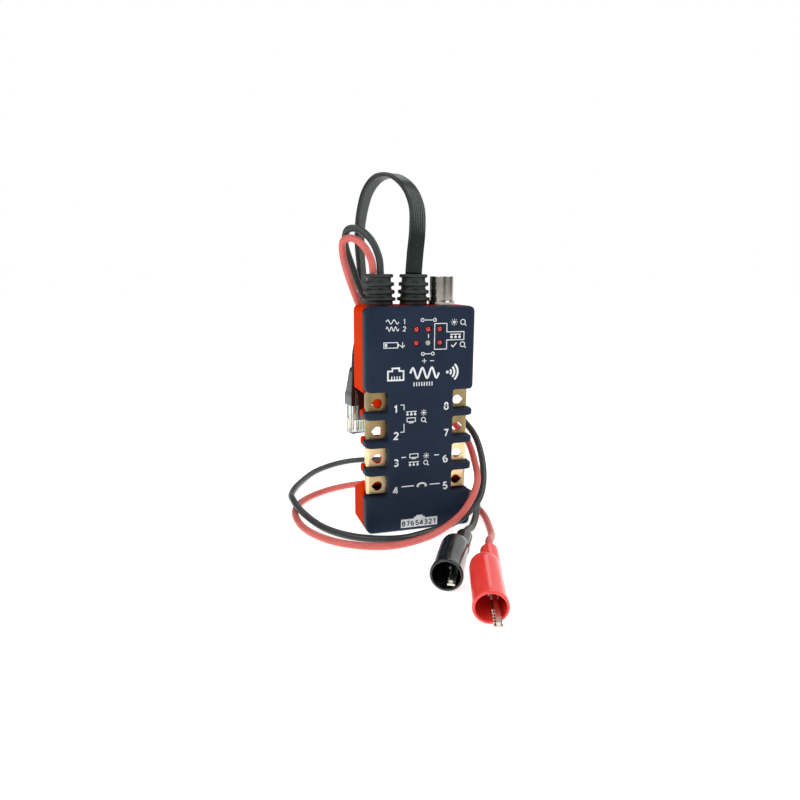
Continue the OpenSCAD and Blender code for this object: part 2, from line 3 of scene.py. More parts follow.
import math
import bmesh
import bpy
from mathutils import Matrix, Vector
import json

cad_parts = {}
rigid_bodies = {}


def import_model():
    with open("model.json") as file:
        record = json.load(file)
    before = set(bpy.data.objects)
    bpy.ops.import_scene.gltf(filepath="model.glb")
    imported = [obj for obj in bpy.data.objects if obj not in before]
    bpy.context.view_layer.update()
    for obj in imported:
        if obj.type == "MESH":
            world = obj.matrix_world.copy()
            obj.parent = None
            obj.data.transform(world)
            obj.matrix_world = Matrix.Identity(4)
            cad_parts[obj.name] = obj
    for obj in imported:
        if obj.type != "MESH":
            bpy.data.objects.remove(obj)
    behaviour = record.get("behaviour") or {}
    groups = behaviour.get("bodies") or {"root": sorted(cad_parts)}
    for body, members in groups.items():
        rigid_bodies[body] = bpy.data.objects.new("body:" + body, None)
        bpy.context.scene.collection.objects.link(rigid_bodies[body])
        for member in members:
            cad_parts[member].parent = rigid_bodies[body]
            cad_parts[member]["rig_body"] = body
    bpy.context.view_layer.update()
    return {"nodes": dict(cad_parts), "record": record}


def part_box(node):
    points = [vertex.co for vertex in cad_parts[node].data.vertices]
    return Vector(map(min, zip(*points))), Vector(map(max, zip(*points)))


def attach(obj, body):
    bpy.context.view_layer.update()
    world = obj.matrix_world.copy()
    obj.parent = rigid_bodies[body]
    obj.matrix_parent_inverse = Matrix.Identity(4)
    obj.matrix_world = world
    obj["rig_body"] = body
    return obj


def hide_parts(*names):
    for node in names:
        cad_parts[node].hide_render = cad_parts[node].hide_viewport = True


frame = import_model()

MM = 0.001
SLOT_OF = {part["node"]: part["material_slot"] for part in frame["record"]["subparts"]}
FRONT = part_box("front_cover")[0].y
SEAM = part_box("rear_housing")[0].y


# ---------- camera ----------

CAMERA_AT = (-0.1046, -0.31365, 0.12949)
CAMERA_YAW = 17.3
CAMERA_PITCH = 10.89
CAMERA_ROLL = 0.37
LENS = 29.08
SENSOR = 36.0
CLIP_START = 0.01


def make_camera():
    """Turned by its yaw, then tipped down by its pitch, then rolled about its own line of sight."""
    yaw, pitch, roll = (math.radians(a) for a in (CAMERA_YAW, CAMERA_PITCH, CAMERA_ROLL))
    forward = Vector((math.sin(yaw) * math.cos(pitch), math.cos(yaw) * math.cos(pitch), -math.sin(pitch)))
    level = Vector((math.cos(yaw), -math.sin(yaw), 0))
    lifted = level.cross(forward)
    right = math.cos(roll) * level + math.sin(roll) * lifted
    up = -math.sin(roll) * level + math.cos(roll) * lifted
    data = bpy.data.cameras.new("camera")
    data.lens = LENS
    data.sensor_width = SENSOR
    data.clip_start = CLIP_START
    data.dof.use_dof = False
    camera = bpy.data.objects.new("camera", data)
    turn = Matrix((right, up, -forward)).transposed().to_4x4()
    camera.matrix_world = Matrix.Translation(CAMERA_AT) @ turn
    bpy.context.scene.collection.objects.link(camera)
    bpy.context.scene.camera = camera


make_camera()
bpy.context.scene.view_settings.view_transform = "Standard"


# ---------- materials ----------

# Where a surface's first colour ends and its second begins, how uneven its gloss is, and how deep its grain
PATCH_ENDS = (0.35, 0.65)
GLOSS_SPREAD = 0.15
GRAIN_DEPTH = 0.2 * MM


def linear(hex_colour):
    """A colour written as sRGB hex, in linear light."""
    parts = [int(hex_colour[i:i + 2], 16) / 255 for i in (0, 2, 4)]
    return [c / 12.92 if c <= 0.04045 else ((c + 0.055) / 1.055) ** 2.4 for c in parts]


def node_material(name, dark, light, rough, patch=45, grain=0, grain_scale=2600, settings=()):
    """A procedural surface: two close colours in soft patches, uneven gloss and a fine grain."""
    material = bpy.data.materials.new(name)
    material.use_nodes = True
    nodes, links = material.node_tree.nodes, material.node_tree.links
    shader = nodes["Principled BSDF"]
    place = nodes.new("ShaderNodeTexCoord")
    patches = nodes.new("ShaderNodeTexNoise")
    patches.inputs["Scale"].default_value = patch
    patches.inputs["Detail"].default_value = 5
    links.new(place.outputs["Object"], patches.inputs["Vector"])
    ramp = nodes.new("ShaderNodeValToRGB")
    for stop, position, colour in zip(ramp.color_ramp.elements, PATCH_ENDS, (dark, light)):
        stop.position = position
        stop.color = (*linear(colour), 1)
    links.new(patches.outputs["Fac"], ramp.inputs["Fac"])
    links.new(ramp.outputs["Color"], shader.inputs["Base Color"])
    gloss = nodes.new("ShaderNodeMapRange")
    gloss.inputs["To Min"].default_value = rough * (1 - GLOSS_SPREAD)
    gloss.inputs["To Max"].default_value = rough * (1 + GLOSS_SPREAD)
    links.new(patches.outputs["Fac"], gloss.inputs["Value"])
    links.new(gloss.outputs["Result"], shader.inputs["Roughness"])
    if grain:
        fine = nodes.new("ShaderNodeTexNoise")
        fine.inputs["Scale"].default_value = grain_scale
        fine.inputs["Detail"].default_value = 2
        links.new(place.outputs["Object"], fine.inputs["Vector"])
        bump = nodes.new("ShaderNodeBump")
        bump.inputs["Strength"].default_value = grain
        bump.inputs["Distance"].default_value = GRAIN_DEPTH
        links.new(fine.outputs["Fac"], bump.inputs["Height"])
        links.new(bump.outputs["Normal"], shader.inputs["Normal"])
    for socket, value in settings:
        shader.inputs[socket].default_value = value
    return material


METAL = ("Metallic", 1.0)
SURFACES = {
    "navy_shell": node_material("navy_shell", "1a2536", "1f2b3e", 0.5, grain=0.25, grain_scale=3200,
                                settings=[("Specular IOR Level", 0.12)]),
    "orange_shell": node_material("orange_shell", "d02d00", "d93401", 0.5, grain=0.12,
                                  settings=[("Specular IOR Level", 0.004)]),
    "plated_steel": node_material("plated_steel", "c4c2b4", "e2e0d4", 0.28, patch=260, grain=0.15,
                                  settings=[METAL]),
    "steel_wire": node_material("steel_wire", "a6a49c", "c6c4bc", 0.32, patch=300, settings=[METAL]),
    "circuit_green": node_material("circuit_green", "0c4a26", "14602f", 0.4, patch=150),
    "component_black": node_material("component_black", "141517", "1d1f21", 0.5, grain=0.2),
    "component_tan": node_material("component_tan", "b79a6a", "c9ae80", 0.45, patch=300),
    "button_rubber": node_material("button_rubber", "15171a", "1e2023", 0.6, grain=0.3),
    "led_red": node_material("led_red", "a81815", "c4221b", 0.2, patch=400,
                             settings=[("Transmission Weight", 0.08), ("Coat Weight", 0.6)]),
    "led_clear": node_material("led_clear", "b9bcba", "d6d8d6", 0.14, patch=400,
                               settings=[("Transmission Weight", 0.4), ("Coat Weight", 0.6)]),
    "terminal_brass": node_material("terminal_brass", "8c7a54", "a8946a", 0.42, patch=110, grain=0.2,
                                    grain_scale=1500, settings=[METAL]),
    "black_rubber": node_material("black_rubber", "17191a", "212524", 0.5, grain=0.3),
    "nickel": node_material("nickel", "b3aea4", "cbc7be", 0.13, patch=90, settings=[METAL]),
    "white_insulator": node_material("white_insulator", "e2e2dc", "eeeee9", 0.45, patch=200),
    "copper_pin": node_material("copper_pin", "c4895a", "d69c6c", 0.3, patch=300, settings=[METAL]),
    "battery_jacket": node_material("battery_jacket", "22252a", "2c3036", 0.3, patch=120),
    "black_vinyl": node_material("black_vinyl", "0d1212", "171e1d", 0.2, patch=60, grain=0.06,
                                 grain_scale=500, settings=[("Coat Weight", 0.4)]),
    "flat_cable_jacket": node_material("flat_cable_jacket", "141919", "1e2524", 0.24, patch=70),
    "clear_plastic": node_material("clear_plastic", "d3e6e1", "e9f4f1", 0.08, patch=60,
                                   settings=[("Transmission Weight", 1.0), ("IOR", 1.45)]),
    "gold_contact": node_material("gold_contact", "d8ae4f", "ecc665", 0.25, patch=300, settings=[METAL]),
    "red_lead_jacket": node_material("red_lead_jacket", "c95c54", "d5685f", 0.42, patch=90),
    "black_lead_jacket": node_material("black_lead_jacket", "2a3130", "353d3b", 0.4, patch=90),
    "red_vinyl": node_material("red_vinyl", "f83831", "fd473e", 0.3, patch=60, grain=0.06,
                               grain_scale=500, settings=[("Coat Weight", 0.4)]),
}
WHITE_INK = node_material("white_ink", "d4d8da", "e4e7e8", 0.5, patch=300)
# A paler, brighter copy of the terminals' brass for four of the same plates: a painted reflection that
# stands for the light they catch
PAINTED_REFLECTION_BRASS = node_material("painted_reflection_brass", "e6cb98", "fbe2b4", 0.4, patch=110, grain=0.2,
                           grain_scale=1500, settings=[METAL])
PAINTED_REFLECTION_TERMINALS = ("terminal_3", "terminal_4", "terminal_5", "terminal_6")


def surface_of(node):
    """A node's surface: four of the terminal plates get a paler copy of the same brass, a painted
    reflection.
    """
    return PAINTED_REFLECTION_BRASS if node in PAINTED_REFLECTION_TERMINALS else SURFACES[SLOT_OF[node]]


for cad_name, cad_object in frame["nodes"].items():
    cad_object.data.materials.clear()
    cad_object.data.materials.append(surface_of(cad_name))


# ---------- cords ----------

LEAD_D = 3.6 * MM
FLAT_W = 8.6 * MM
FLAT_T = 2.3 * MM
FLAT_EDGE = 0.8 * FLAT_T / 2
# Steps from one point of the flat lead's route to the next, and round each of its edges
FLAT_STEPS = 8
EDGE_STEPS = 8
# The grooves between the flat lead's conductors: how many each side of its middle, and their sizes
SIDE_GROOVES = 3
GROOVE_PITCH = 1.02 * MM
GROOVE_HALF = 0.14 * MM
GROOVE_DEEP = 0.1 * MM
# How much a degree of turn counts beside a metre of way when the route is smoothed
TURN_SCALE = 0.0001
TINY = 1e-9
# The routes' points are those of the cords' plain solids
FLAT_ROUTE = [
    (0.0, 0.00075, 0.1303), (0.0008, 0.001, 0.14), (0.0022, 0.002, 0.152), (0.0026, 0.005, 0.164),
    (-0.0005, 0.0094, 0.1735), (-0.0065, 0.0145, 0.179), (-0.0128, 0.0192, 0.1786),
    (-0.0174, 0.0228, 0.173), (-0.0202, 0.026, 0.162), (-0.021, 0.0286, 0.148), (-0.0196, 0.03, 0.131),
    (-0.0188, 0.03, 0.114), (-0.0204, 0.0274, 0.097), (-0.022, 0.026, 0.087), (-0.0225, 0.0258, 0.0805),
]
# How far the broad side has turned about the upright at each point, in degrees
FLAT_TURN = (0, 0, 4, 10, 18, 26, 32, 38, 44, 50, 52, 42, 24, 12, 12)
BLACK_ROUTE = [
    (-0.0172, 0.00075, 0.1303), (-0.0178, 0.0013, 0.138), (-0.021, 0.0038, 0.1465),
    (-0.0262, 0.0086, 0.152), (-0.0306, 0.0138, 0.152), (-0.0312, 0.018, 0.146),
    (-0.0274, 0.0212, 0.1355), (-0.02, 0.0224, 0.118), (0.008, 0.0228, 0.0765), (0.0245, 0.024, 0.0625),
    (0.0348, 0.0186, 0.051), (0.0398, 0.008, 0.0415), (0.0398, -0.0035, 0.0265),
    (0.0335, -0.0142, 0.0148), (0.024, -0.0193, 0.0082), (0.0135, -0.0209, 0.0036),
    (0.001, -0.0228, 0.0019), (-0.015, -0.0266, 0.0019), (-0.034, -0.0195, 0.0019),
    (-0.048, -0.0035, 0.0022), (-0.0565, 0.016, 0.0048), (-0.059, 0.032, 0.0062),
    (-0.057, 0.052, 0.0034), (-0.048, 0.076, 0.0019), (-0.032, 0.0995, 0.0019),
    (-0.008, 0.1136, 0.0019), (0.018, 0.109, 0.0019), (0.0355, 0.09, 0.0019), (0.0425, 0.064, 0.0019),
    (0.0442, 0.036, 0.0022), (0.0422, 0.0125, 0.0052), (0.0374, -0.0025, 0.0062),
    (0.0295, -0.017, 0.0032), (0.0226, -0.0285, 0.0042), (0.0162, -0.038, 0.0072),
    (0.0114, -0.0459, 0.008),
]
RED_ROUTE = [
    (-0.0209, 0.00075, 0.1303), (-0.0218, 0.0014, 0.137), (-0.0252, 0.0048, 0.1442),
    (-0.0298, 0.0088, 0.1476), (-0.0332, 0.0124, 0.1464), (-0.033, 0.0154, 0.14),
    (-0.0274, 0.0182, 0.123), (-0.017, 0.0193, 0.101), (0.01, 0.019, 0.0655), (0.0292, 0.0162, 0.049),
    (0.0346, 0.008, 0.0405), (0.0344, -0.0036, 0.0312), (0.031, -0.0154, 0.023),
    (0.0215, -0.0224, 0.0118), (0.01, -0.0249, 0.0044), (-0.004, -0.0298, 0.0019),
    (-0.024, -0.0335, 0.0019), (-0.044, -0.0235, 0.0019), (-0.0562, -0.0055, 0.0019),
    (-0.0598, 0.014, 0.0019), (-0.0572, 0.032, 0.0019), (-0.0465, 0.0475, 0.0019),
    (-0.027, 0.0595, 0.0019), (-0.002, 0.0625, 0.0019), (0.02, 0.0525, 0.0019),
    (0.0345, 0.0335, 0.0019), (0.0398, 0.011, 0.0019), (0.0386, -0.009, 0.0019),
    (0.0338, -0.026, 0.0022), (0.0275, -0.042, 0.0048), (0.021, -0.0545, 0.009),
    (0.0157, -0.064, 0.0123), (0.0116, -0.0727, 0.012),
]


def smooth_line(points, steps=6):
    """A centripetal Catmull-Rom curve through the points; extra values in a point are carried along."""
    points = [Vector(p) for p in points]
    ends = [2 * points[0] - points[1], *points, 2 * points[-1] - points[-2]]
    line = []
    for i in range(1, len(ends) - 2):
        a, b, c, d = ends[i - 1:i + 3]
        t1 = max((b - a).length, TINY) ** 0.5
        t2 = t1 + max((c - b).length, TINY) ** 0.5
        t3 = t2 + max((d - c).length, TINY) ** 0.5
        for step in range(steps):
            t = t1 + (t2 - t1) * step / steps
            ab = a * ((t1 - t) / t1) + b * (t / t1)
            bc = b * ((t2 - t) / (t2 - t1)) + c * ((t - t1) / (t2 - t1))
            cd = c * ((t3 - t) / (t3 - t2)) + d * ((t - t2) / (t3 - t2))
            abc = ab * ((t2 - t) / t2) + bc * (t / t2)
            bcd = bc * ((t3 - t) / (t3 - t1)) + cd * ((t - t1) / (t3 - t1))
            line.append(abc * ((t2 - t) / (t2 - t1)) + bcd * ((t - t1) / (t2 - t1)))
    line.append(points[-1])
    return line


def add_object(name, data, material=None):
    """Puts a mesh or a curve into the scene, with its one material."""
    piece = bpy.data.objects.new(name, data)
    bpy.context.scene.collection.objects.link(piece)
    if material:
        data.materials.append(material)
    return piece


def round_curve(name, line, diameter, resolution):
    """A closed tube along a line of points."""
    curve = bpy.data.curves.new(name, "CURVE")
    curve.dimensions = "3D"
    curve.bevel_depth = diameter / 2
    curve.bevel_resolution = resolution
    curve.use_fill_caps = True
    spline = curve.splines.new("POLY")
    spline.points.add(len(line) - 1)
    for point, place in zip(spline.points, line):
        point.co = (*place, 1)
    spline.use_smooth = True
    return curve


def stand_for(node, ending, data, body):
    """Makes the piece that takes a node's place, and rides on its body in its material slot."""
    piece = add_object(node + ending, data, surface_of(node))
    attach(piece, body)
    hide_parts(node)
    return piece


def make_lead(node, route):
    """A round test lead as one smooth curve."""
    line = smooth_line(route)
    piece = stand_for(node, "_cord", round_curve(node + "_line", line, LEAD_D, 5), "case")


def flat_outline():
    """The flat lead's cross-section: rounded edges, and grooves between its conductors on both sides."""
    half_w = FLAT_W / 2
    half_t = FLAT_T / 2
    outline = []
    for end in (1, -1):
        for k in range(EDGE_STEPS + 1):
            a = math.pi * (k / EDGE_STEPS - 0.5)
            rise = (half_t - FLAT_EDGE) * ((2 * k > EDGE_STEPS) - (2 * k < EDGE_STEPS))
            u = half_w - FLAT_EDGE + FLAT_EDGE * math.cos(a)
            outline.append((end * u, end * (rise + FLAT_EDGE * math.sin(a))))
        for groove in range(SIDE_GROOVES, -SIDE_GROOVES - 1, -1):
            u = groove * GROOVE_PITCH
            outline.append((end * (u + GROOVE_HALF), end * half_t))
            outline.append((end * u, end * (half_t - GROOVE_DEEP)))
            outline.append((end * (u - GROOVE_HALF), end * half_t))
    return outline


def make_flat_cable(node, route, turns):
    """The flat network lead: a rounded strip swept along its route, its broad side turning as it goes."""
    keyed = [Vector((*place, turn * TURN_SCALE)) for place, turn in zip(route, turns)]
    stations = smooth_line(keyed, FLAT_STEPS)
    line = [s.to_3d() for s in stations]
    outline = flat_outline()
    bm = bmesh.new()
    rings = []
    last = len(line) - 1
    for i, here in enumerate(line):
        ahead = (line[min(i + 1, last)] - line[max(i - 1, 0)]).normalized()
        if i == 0:
            ahead = Vector((0, 0, 1))
        elif i == last:
            ahead = Vector((0, 0, -1))
        turn = math.radians(stations[i][3] / TURN_SCALE)
        side = Vector((math.cos(turn), math.sin(turn), 0))
        side = (side - side.dot(ahead) * ahead).normalized()
        flat = ahead.cross(side)
        rings.append([bm.verts.new(here + u * side + v * flat) for u, v in outline])
    for ring, after in zip(rings, rings[1:]):
        for k in range(len(outline)):
            j = (k + 1) % len(outline)
            bm.faces.new((ring[k], ring[j], after[j], after[k]))
    bm.faces.new(list(reversed(rings[0])))
    bm.faces.new(rings[-1])
    bmesh.ops.recalc_face_normals(bm, faces=bm.faces)
    for face in bm.faces:
        face.smooth = len(face.verts) == 4
    mesh = bpy.data.meshes.new(node + "_strip")
    bm.to_mesh(mesh)
    bm.free()
    piece = stand_for(node, "_cord", mesh, "case")


make_lead("red_lead", RED_ROUTE)
make_lead("black_lead", BLACK_ROUTE)
make_flat_cable("flat_cable", FLAT_ROUTE, FLAT_TURN)


# ---------- mesh helpers ----------

# Corners closer than WELD are one, and faces within FLAT_ENOUGH degrees of each other are one face
WELD = 0.002 * MM
FLAT_ENOUGH = 0.6
# Edges sharper than these, in degrees, keep a crisp line in the shading
TURNED_SHARP = 30
MOULDED_SHARP = 42


def middle(node):
    """The centre of a node's box."""
    low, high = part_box(node)
    return (low + high) / 2


def finish_copy(node, bm, ending, sharp):
    """Makes the piece that stands for a node from its bmesh, smooth apart from its sharp edges."""
    for face in bm.faces:
        face.smooth = True
    mesh = bpy.data.meshes.new(node + ending)
    bm.to_mesh(mesh)
    bm.free()
    mesh.set_sharp_from_angle(angle=math.radians(sharp))
    piece = stand_for(node, ending, mesh, frame["nodes"][node]["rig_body"])
    even = piece.modifiers.new("even_normals", "WEIGHTED_NORMAL")
    even.keep_sharp = True


def bevelled_copy(node, width, segments=2, keep_angle=35):
    """A copy of a machined or pressed node with its sharp edges rounded, which stands for it."""
    bm = bmesh.new()
    bm.from_mesh(frame["nodes"][node].data)
    bmesh.ops.remove_doubles(bm, verts=bm.verts, dist=WELD)
    bmesh.ops.dissolve_limit(bm, angle_limit=math.radians(FLAT_ENOUGH), verts=bm.verts, edges=bm.edges)
    edges = [e for e in bm.edges if len(e.link_faces) == 2
             and e.calc_face_angle(0) > math.radians(keep_angle)]
    bmesh.ops.bevel(bm, geom=edges, offset=width * MM, segments=segments, profile=0.5,
                    affect="EDGES", clamp_overlap=True)
    finish_copy(node, bm, "_piece", keep_angle)


def turned_copy(node, profile, base, steps=96):
    """A turned piece that stands for a node, revolved from its profile of (radius, height) in mm."""
    centre = middle(node)
    bm = bmesh.new()
    rings = []
    for radius, height in profile:
        ring = []
        for k in range(steps):
            a = math.tau * k / steps
            out = Vector((math.cos(a), math.sin(a), 0)) * radius * MM
            ring.append(bm.verts.new((centre.x + out.x, centre.y + out.y, base + height * MM)))
        rings.append(ring)
    for i, ring in enumerate(rings):
        after = rings[(i + 1) % len(rings)]
        for k in range(steps):
            m = (k + 1) % steps
            bm.faces.new((ring[k], ring[m], after[m], after[k]))
    bmesh.ops.recalc_face_normals(bm, faces=bm.faces)
    finish_copy(node, bm, "_turned", TURNED_SHARP)


def moulded_copy(node, voxel, rounds, held=None, flatten=0.4):
    """A copy of a moulded node whose edges and inner corners are rounded, which stands for it.

    It is remeshed in voxels and relaxed for that many rounds, apart from where held says so,
    and then what is still flat is joined up again.
    """
    source = add_object(node + "_source", frame["nodes"][node].data.copy())
    remesh = source.modifiers.new("remesh", "REMESH")
    remesh.mode = "VOXEL"
    remesh.voxel_size = voxel * MM
    bm = bmesh.new()
    bm.from_object(source, bpy.context.evaluated_depsgraph_get())
    spare = source.data
    bpy.data.objects.remove(source)
    bpy.data.meshes.remove(spare)
    loose = [v for v in bm.verts if not (held and held(v.co))]
    for _ in range(rounds):
        bmesh.ops.smooth_vert(bm, verts=loose, factor=0.5,
                              use_axis_x=True, use_axis_y=True, use_axis_z=True)
    bmesh.ops.dissolve_limit(bm, angle_limit=math.radians(flatten), verts=bm.verts, edges=bm.edges)
    finish_copy(node, bm, "_skin", MOULDED_SHARP)


# ---------- case ----------

# The coax sleeve's outline as (radius, height above the case's top), and how deep its foot goes
SLEEVE_FOOT = 4.6
SLEEVE = ((0.6, -SLEEVE_FOOT), (4.6, -SLEEVE_FOOT), (4.6, 0), (6.7, 0), (6.9, 0.2), (6.9, 1.6), (6.6, 2),
          (6.05, 2.15), (6, 2.4), (6, 13.9), (5.9, 14.2), (5.65, 14.3), (5.1, 14.3), (4.85, 14.2),
          (4.76, 13.9), (4.76, 3), (0.6, 3))
LIGHTS = ("led_tone", "led_continuity", "led_blink", "led_low_battery", "led_polarity", "led_found")
LIGHT_RIM = 2.3 * MM
SEAM_RIM = 0.9 * MM
LIGHT_CENTRES = [middle(light).xz for light in LIGHTS]
LIGHTS_FROM = min(centre.y for centre in LIGHT_CENTRES) - LIGHT_RIM


def held_in_cover(place):
    """Keeps the rims of the lights' holes and the edge that meets the rear half crisp."""
    if place.y > SEAM - SEAM_RIM:
        return True
    return place.z > LIGHTS_FROM and any((place.xz - c).length < LIGHT_RIM for c in LIGHT_CENTRES)


def held_in_housing(place):
    """Keeps the edge that meets the front half crisp."""
    return place.y < SEAM + SEAM_RIM


moulded_copy("front_cover", 0.5, 7, held_in_cover)
moulded_copy("rear_housing", 0.55, 3, held_in_housing)
bevelled_copy("battery_door", 0.25)
bevelled_copy("mode_button", 0.15)
for relief in ("lead_strain_relief", "flat_strain_relief"):
    moulded_copy(relief, 0.28, 3)
turned_copy("coax_sleeve", SLEEVE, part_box("coax_sleeve")[0].z + SLEEVE_FOOT * MM)
bevelled_copy("case_screws", 0.06)
bevelled_copy("coax_nut", 0.15)
for number in range(1, 9):
    bevelled_copy("terminal_%d" % number, 0.12)


# ---------- clips and plug ----------

for colour in ("red", "black"):
    moulded_copy(colour + "_boot", 0.3, 4)
    bevelled_copy(colour + "_fixed_jaw", 0.12)
    bevelled_copy(colour + "_moving_jaw", 0.12)
moulded_copy("plug_boot", 0.35, 3)

# The cores stand side by side between two heights, turned about the upright as the plug is
WIRE_D = 0.95 * MM
WIRE_PITCH = 1.1 * MM
WIRE_FROM = 51.9 * MM
WIRE_TO = 64 * MM
WIRE_BACK = 0.1 * MM
PLUG_YAW = math.radians(12)
# Each core's name and its two close colours
WIRES = (
    ("white_orange", "e6d3c4", "eedccd"), ("orange", "d9701c", "e27c26"),
    ("white_green", "cfe0cc", "dae8d6"), ("blue", "2a5cae", "3466b8"),
    ("white_blue", "ccd8e6", "d8e2ee"), ("green", "2c8a3e", "369448"),
    ("white_brown", "dccdbf", "e6d8ca"), ("brown", "6e4527", "7a4e2e"),
)


def make_wires():
    """The eight cores of the flat lead, side by side in the clear plug."""
    boot = middle("plug_boot")
    across = Vector((math.cos(PLUG_YAW), math.sin(PLUG_YAW), 0))
    behind = Vector((-across.y, across.x, 0)) * WIRE_BACK
    for i, (colour, dark, light) in enumerate(WIRES):
        name = "core_" + colour
        foot = Vector((boot.x, boot.y, 0)) + across * WIRE_PITCH * (i - (len(WIRES) - 1) / 2) + behind
        line = [foot + Vector((0, 0, height)) for height in (WIRE_FROM, WIRE_TO)]
        jacket = node_material(name, dark, light, 0.4, patch=300)
        core = add_object(name, round_curve(name, line, WIRE_D, 3), jacket)
        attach(core, "case")


make_wires()


# ---------- print on the front ----------

# How far the print stands proud of the front and reaches into it, and its two widths of line in mm
INK_PROUD = 0.05 * MM
INK_DEEP = 0.12 * MM
LINE = 0.5
FINE = 0.4
# The least that a corner's mitre may narrow to, as a share of the line's width
MITRE = 0.5


class Print:
    """Flat strokes and shapes on the front, in millimetres across (x) and up (z)."""

    def __init__(self, proud=INK_PROUD):
        self.bm = bmesh.new()
        self.front = FRONT - proud

    def corner(self, spot, y):
        """A new corner at a spot on the front, at the depth y."""
        return self.bm.verts.new((spot[0] * MM, y, spot[1] * MM))

    def shape(self, outline):
        """A filled outline."""
        front = [self.corner(s, self.front) for s in outline]
        back = [self.corner(s, FRONT + INK_DEEP) for s in outline]
        self.bm.faces.new(front)
        self.bm.faces.new(list(reversed(back)))
        for i in range(len(outline)):
            j = (i + 1) % len(outline)
            self.bm.faces.new((front[j], front[i], back[i], back[j]))

    def stroke(self, spots, width=LINE, closed=False):
        """A line of even width through the spots, with mitred corners."""
        spots = [Vector(s) for s in spots]
        count = len(spots)
        rails = []
        for i, spot in enumerate(spots):
            before = spots[i - 1] if i or closed else None
            after = spots[(i + 1) % count] if i < count - 1 or closed else None
            came = (spot - before).normalized() if before else (after - spot).normalized()
            goes = (after - spot).normalized() if after else came
            along = (came + goes).normalized()
            side = Vector((-along.y, along.x))
            reach = width / 2 / max(MITRE, side.dot(Vector((-came.y, came.x))))
            rails.append((spot + side * reach, spot - side * reach))
        deep = FRONT + INK_DEEP
        rings = []
        for left, right in rails:
            corners = ((left, self.front), (right, self.front), (right, deep), (left, deep))
            rings.append([self.corner(s, y) for s, y in corners])
        for i in range(count if closed else count - 1):
            here, there = rings[i], rings[(i + 1) % count]
            for k in range(4):
                m = (k + 1) % 4
                self.bm.faces.new((here[k], here[m], there[m], there[k]))
        if not closed:
            self.bm.faces.new(list(reversed(rings[0])))
            self.bm.faces.new(rings[-1])

    def ring(self, x, z, r, width=LINE):
        self.stroke(round_spots(x, z, r, 24), width, True)

    def dot(self, x, z, r):
        self.shape(round_spots(x, z, r, 16))

    def bar(self, x, z, w, h):
        self.shape(rectangle(x, z, w, h))

    def make(self, name, material):
        """Ends the drawing: its mesh becomes a piece on the case."""
        bmesh.ops.recalc_face_normals(self.bm, faces=self.bm.faces)
        mesh = bpy.data.meshes.new(name)
        self.bm.to_mesh(mesh)
        self.bm.free()
        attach(add_object(name, mesh, material), "case")


def arc(x, z, r, start, end, count=12):
    """Points along an arc, from start to end degrees."""
    angles = [math.radians(start + (end - start) * i / (count - 1)) for i in range(count)]
    return [(x + r * math.cos(a), z + r * math.sin(a)) for a in angles]


def round_spots(x, z, r, count):
    """Points evenly round a whole circle."""
    return arc(x, z, r, 0, 360 - 360 / count, count)


def rectangle(x, z, w, h):
    left, right = x - w / 2, x + w / 2
    foot, top = z - h / 2, z + h / 2
    return [(left, foot), (right, foot), (right, top), (left, top)]


def wave(ink, x, z, w, h, turns, width=FINE):
    """A sine wave, for a tone."""
    steps = 12 * turns
    ink.stroke([(x - w / 2 + w * i / steps, z + h / 2 * math.sin(math.tau * turns * i / steps))
                for i in range(steps + 1)], width)


def link(ink, x, z, half):
    """Two ends joined by a line, for continuity."""
    ink.ring(x - half, z, 0.75, FINE)
    ink.ring(x + half, z, 0.75, FINE)
    ink.stroke([(x - half + 0.75, z), (x + half - 0.75, z)], FINE)


def burst(ink, x, z, r):
    """A lamp with rays, for a blinking light."""
    ink.dot(x, z, r * 0.42)
    for k in range(8):
        a = math.tau * k / 8
        ink.stroke([(x + r * 0.62 * math.cos(a), z + r * 0.62 * math.sin(a)),
                    (x + r * math.cos(a), z + r * math.sin(a))], FINE * 0.8)


def lens(ink, x, z, r):
    """A magnifier, for detecting."""
    ink.ring(x, z + 0.2, r * 0.72, FINE)
    ink.stroke([(x + r * 0.52, z - 0.2 - r * 0.3), (x + r * 1.1, z - r * 0.95)], LINE)


def tick(ink, x, z, r):
    """A tick, for a finding."""
    ink.stroke([(x - r, z), (x - r * 0.3, z - r * 0.7), (x + r, z + r * 0.8)], LINE)


def hub(ink, x, z, w):
    """Three ports on one line, for a hub."""
    ink.stroke([(x - w / 2, z + 0.9), (x + w / 2, z + 0.9)], FINE)
    for k in (-1, 0, 1):
        ink.stroke([(x + k * w * 0.36, z + 0.8), (x + k * w * 0.36, z - 0.1)], FINE)
        ink.bar(x + k * w * 0.36, z - 0.55, w * 0.2, 1.0)


def screen(ink, x, z, w):
    """A monitor on a foot, for a computer."""
    ink.stroke(rectangle(x, z + 0.4, w, 1.9), FINE, True)
    ink.stroke([(x - w * 0.28, z - 1.15), (x + w * 0.28, z - 1.15)], FINE)
    ink.stroke([(x, z - 0.6), (x, z - 1.1)], FINE)


def handset(ink, x, z, w):
    """A telephone handset lying over its rest."""
    ink.stroke(arc(x, z - w * 0.45, w * 0.62, 140, 40, 14), 0.9)
    ink.bar(x - w * 0.43, z - 0.55, w * 0.24, 1.0)
    ink.bar(x + w * 0.43, z - 0.55, w * 0.24, 1.0)


def battery_sign(ink, x, z, w):
    """A battery that is nearly empty."""
    ink.stroke(rectangle(x, z, w, 2.6), FINE, True)
    ink.bar(x + w / 2 + 0.5, z, 0.55, 1.2)
    ink.bar(x - w / 2 + 1.1, z, 1.1, 1.6)


def jack_sign(ink, x, z, w):
    """A modular jack seen from the front."""
    ink.stroke([(x - w / 2, z - 2.9), (x + w / 2, z - 2.9), (x + w / 2, z + 1.6), (x + w * 0.22, z + 1.6),
                (x + w * 0.22, z + 3), (x - w * 0.22, z + 3), (x - w * 0.22, z + 1.6), (x - w / 2, z + 1.6)],
               0.8, True)
    for k in range(4):
        ink.bar(x + (k - 1.5) * w * 0.17, z - 1.7, 0.5, 1.5)


